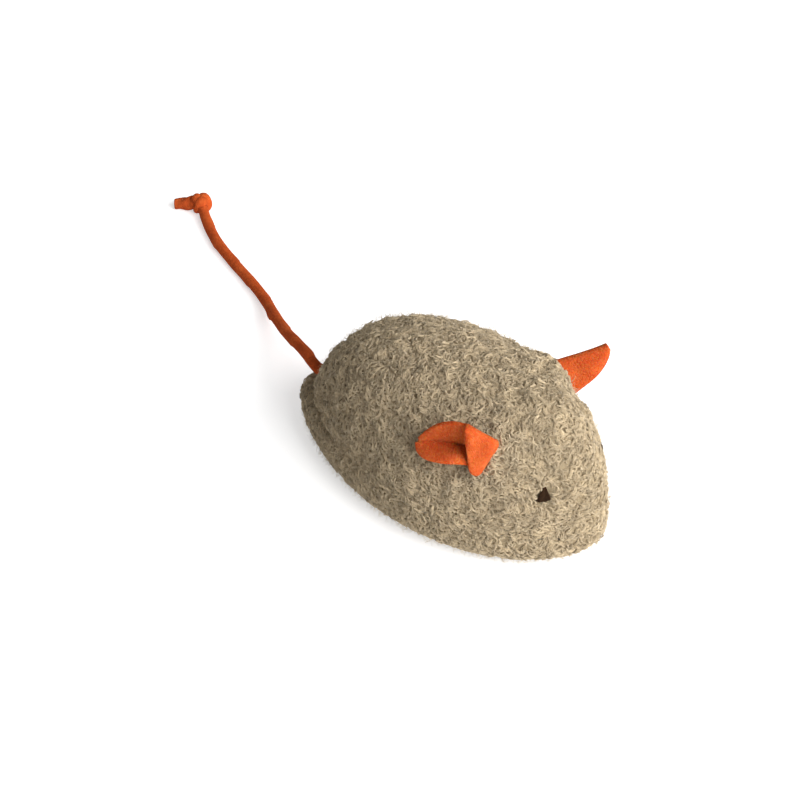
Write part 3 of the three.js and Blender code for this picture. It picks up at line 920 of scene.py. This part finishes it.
# The tail: a strip of rust-red felt rolled and twisted into a cord. It leaves the rear through
# the end of the seam, bends where the twist is tightest and lies along the floor. Its short
# first stretch is a piece of its own, so that each piece is hinged at one place.
TAIL_RADIUS = 0.0015
TAIL_SIDES = 18
TAIL_STEPS = 150
TAIL_PLACES = [Vector(place) for place in (
    (-0.0365, 0, 0.0131), (-0.0403, 0, 0.0131), (-0.04165, 0, 0.0131), (-0.0446, 0.00115, 0.013),
    (-0.0474, 0.00265, 0.01255), (-0.054, 0.0062, 0.0103), (-0.062, 0.0108, 0.0072),
    (-0.07, 0.0157, 0.0045), (-0.0755, 0.0195, 0.0029), (-0.081, 0.0225, 0.002),
    (-0.089, 0.0259, 0.0016), (-0.097, 0.0287, 0.0016), (-0.104, 0.0314, 0.0016),
    (-0.11, 0.0346, 0.0016), (-0.1155, 0.038, 0.0018), (-0.1172, 0.0392, 0.0021),
    (-0.1185, 0.0401, 0.0026),
)]
BETWEEN_PIVOTS = Vector((-0.0446, 0.00115, 0.013))
CURVE_STEPS = 16
TWIST_PITCH = 0.019
ROLL_OUTSIDE = 1.04
ROLL_STEP = 0.14
ROLL_POWER = 1.5
SQUEEZE = 0.02
SQUEEZE_PITCH = 0.0093
KINK_PLACE = 0.0413
KINK_LENGTH = 0.003
KINK_STEP = 0.16
KINK_SWELL = 0.12


def smooth_path(places, count):
    """Evenly spaced points of a smooth curve through the places, and its length."""
    dense = []
    for i in range(len(places) - 1):
        before = places[max(i - 1, 0)]
        after = places[min(i + 2, len(places) - 1)]
        a, b = places[i], places[i + 1]
        for k in range(CURVE_STEPS):
            t = k / CURVE_STEPS
            dense.append((a * 2 + (b - before) * t + (before * 2 - a * 5 + b * 4 - after) * t * t
                          + (a * 3 - before - b * 3 + after) * t * t * t) / 2)
    dense.append(places[-1])
    lengths = [0]
    for i in range(1, len(dense)):
        lengths.append(lengths[-1] + (dense[i] - dense[i - 1]).length)
    marks = np.linspace(0, lengths[-1], count)
    table = np.array(dense)
    evenly = [np.interp(marks, lengths, table[:, axis]) for axis in range(3)]
    return [Vector(point) for point in zip(*evenly)], lengths[-1]


def tube_mesh(name, path, radius_at):
    """A closed tube along a path; its radius depends on the share along and the angle around."""
    count = len(path)
    aside = Vector((0, 0, 1)).cross(path[1] - path[0]).normalized()
    rows = []
    for i, centre in enumerate(path):
        ahead = (path[min(i + 1, count - 1)] - path[max(i - 1, 0)]).normalized()
        aside = (aside - ahead * aside.dot(ahead)).normalized()
        over = ahead.cross(aside)
        row = []
        for k in range(TAIL_SIDES + 1):
            angle = 2 * math.pi * (k % TAIL_SIDES) / TAIL_SIDES
            radius = radius_at(i / (count - 1), angle)
            row.append(centre + (aside * math.cos(angle) + over * math.sin(angle)) * radius)
        rows.append(row)
    rows.insert(0, [path[0]] * (TAIL_SIDES + 1))
    rows.append([path[-1]] * (TAIL_SIDES + 1))
    return sheet_mesh(name, rows)


tail_path, tail_length = smooth_path(TAIL_PLACES, TAIL_STEPS)
tail_step = tail_length / (TAIL_STEPS - 1)


def mark_near(place):
    """Number of the tail's point that lies nearest to a place."""
    return min(range(TAIL_STEPS), key=lambda i: (tail_path[i] - place).length)


def rolled_strip(along, angle):
    """The outside of a rolled strip: its free edge makes a step that winds along the cord."""
    winding = (angle + 2 * math.pi * along / TWIST_PITCH) % (2 * math.pi) / (2 * math.pi)
    kink = math.exp(-((along - KINK_PLACE) / KINK_LENGTH) ** 2)
    step = ROLL_OUTSIDE - (ROLL_STEP + KINK_STEP * kink) * winding ** ROLL_POWER
    squeeze = 1 + SQUEEZE * math.sin(2 * math.pi * along / SQUEEZE_PITCH)
    return TAIL_RADIUS * step * squeeze * (1 + KINK_SWELL * kink)


tail_felt, tail_tree, tail_shader = new_material(
    "rust_felt", Roughness=1.0, Specular_IOR_Level=0.05,
    Sheen_Weight=0.05, Sheen_Roughness=0.4, Sheen_Tint=(1, 0.45, 0.2, 1))
colour_by(tail_tree, tail_shader, mottle(tail_tree, coarse=220, fine=1500), (
    (0.22, 0.025, 0.007), (0.55, 0.09, 0.02), (0.86, 0.21, 0.052)))
add_grain(tail_tree, tail_shader, scale=2200, detail=4, strength=0.7, distance=0.0004)

split_mark = mark_near(BETWEEN_PIVOTS)
tail_root = tube_mesh("tail_root_cord", tail_path[:split_mark + 1],
                      lambda share, angle: rolled_strip(share * split_mark * tail_step, angle))
tail = tube_mesh("tail_cord", tail_path[split_mark:], lambda share, angle: rolled_strip(
    (split_mark + share * (TAIL_STEPS - 1 - split_mark)) * tail_step, angle))
tail_root.data.materials.append(tail_felt)
tail.data.materials.append(tail_felt)


# The knot: the tail's end tied once round itself, drawn tight, with a short cut end that
# points on past it. It is the same felt and lies on the floor.
KNOT_PLACE = Vector((-0.1201, 0.0412, 0.003))
KNOT_AHEAD = Vector((-0.81, 0.58, 0)).normalized()
KNOT_ASIDE = Vector((-0.58, -0.81, 0)).normalized()
KNOT_REACH = 0.00105
KNOT_RISE = 0.0012
KNOT_POINTS = 40
KNOT_START = 0.06
KNOT_SHARE = 0.9
KNOT_STEPS = 90
KNOT_STRAND = 0.00145
CUT_END = [Vector(place) for place in (
    (-0.1222, 0.0406, 0.0025), (-0.1244, 0.0393, 0.0018), (-0.1268, 0.0379, 0.0014))]
END_SWELL = 0.3
END_SWELLS_OVER = (0.7, 0.8)
END_THINS_OVER = (0.85, 1)
RIDGES = 3
RIDGE_HEIGHT = 0.08
RIDGE_TWIST = 40

knot_turns = []
for i in range(KNOT_POINTS):
    turn = 2 * math.pi * (KNOT_START + KNOT_SHARE * i / (KNOT_POINTS - 1))
    reach = KNOT_REACH * (math.sin(turn) + 2 * math.sin(2 * turn)) / 2
    aside = KNOT_REACH * (math.cos(turn) - 2 * math.cos(2 * turn)) / 2
    rise = -KNOT_RISE * math.sin(3 * turn)
    knot_turns.append(KNOT_PLACE + KNOT_AHEAD * reach + KNOT_ASIDE * aside + Vector((0, 0, rise)))
knot_path, _ = smooth_path(knot_turns + CUT_END, KNOT_STEPS)


def knot_strand(share, angle):
    """The strand is fullest where it leaves the knot and thins towards its cut end."""
    fullness = 1 + END_SWELL * (ease(share, *END_SWELLS_OVER) - ease(share, *END_THINS_OVER))
    return KNOT_STRAND * fullness * (1 + RIDGE_HEIGHT * math.sin(RIDGES * angle + RIDGE_TWIST * share))


knot = tube_mesh("tail_end_knot", knot_path, knot_strand)
knot.data.materials.append(tail_felt)
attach(knot, "tail")
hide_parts("tail_knot")
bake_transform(tail_root)
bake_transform(tail)
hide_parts("tail_hold", "tail_start")
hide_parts("tail")


# The floor and the light: a wide white floor under a broad soft lamp ahead of the nose, with an
# even white surround that fills the shadows. Far from the mouse the floor turns pure white.
FLOOR_SIZE = 60
FLOOR_WHITENING = 0.55
SHADOW_REACH = 0.3
WHITE_BEYOND = 0.9
LAMP_SIZE = 2
LAMP_POWER = 101
LAMP_PLACE = Vector((1.95, -0.1, 1.2))
SURROUND_LIGHT = 0.19


def seen_rays(tree):
    """1 for what the camera sees straight, in a reflection or through glass, else 0."""
    rays = add_node(tree, "ShaderNodeLightPath").outputs
    mirrored = add_node(tree, "ShaderNodeMath", {
        0: rays["Is Glossy Ray"], 1: rays["Is Transmission Ray"]}, operation="MAXIMUM")
    seen = add_node(tree, "ShaderNodeMath", {
        0: rays["Is Camera Ray"], 1: mirrored.outputs["Value"]}, operation="MAXIMUM")
    return seen.outputs["Value"]


bpy.ops.mesh.primitive_plane_add(size=FLOOR_SIZE)
floor = bpy.context.object
floor.name = "floor"
floor_paint, floor_tree, floor_shader = new_material(
    "white_floor", Roughness=0.9, Specular_IOR_Level=0.1, Emission_Color=(1, 1, 1, 1))
colour_by(floor_tree, floor_shader, noise_at(floor_tree, scale=3, detail=1), (
    (0.9, 0.9, 0.9), (0.92, 0.92, 0.92)))
floor_place = add_node(floor_tree, "ShaderNodeTexCoord").outputs["Object"]
floor_reach = add_node(floor_tree, "ShaderNodeVectorMath", {0: floor_place}, operation="LENGTH")
floor_white = add_node(floor_tree, "ShaderNodeMapRange", {
    "Value": floor_reach.outputs["Value"], "From Min": SHADOW_REACH, "From Max": WHITE_BEYOND,
    "To Min": FLOOR_WHITENING, "To Max": 1.0})
floor_glow = add_node(floor_tree, "ShaderNodeMath", {
    0: seen_rays(floor_tree), 1: floor_white.outputs["Result"]}, operation="MULTIPLY")
floor_tree.links.new(floor_glow.outputs["Value"], floor_shader.inputs["Emission Strength"])
floor.data.materials.append(floor_paint)

lamp = bpy.data.objects.new("soft_lamp", bpy.data.lights.new("soft_lamp", "AREA"))
lamp.data.size = LAMP_SIZE
lamp.data.energy = LAMP_POWER
lamp.location = LAMP_PLACE
lamp.rotation_euler = (-LAMP_PLACE).to_track_quat("-Z", "Y").to_euler()
bpy.context.scene.collection.objects.link(lamp)

world = bpy.data.worlds.new("surround")
world.use_nodes = True
bpy.context.scene.world = world
sky = world.node_tree
brightness = add_node(sky, "ShaderNodeMix", {
    "Factor": seen_rays(sky), "A": SURROUND_LIGHT, "B": 1.0})
background = sky.nodes["Background"]
background.inputs["Color"].default_value = (1, 1, 1, 1)
sky.links.new(brightness.outputs["Result"], background.inputs["Strength"])
bpy.context.scene.view_settings.view_transform = "Standard"
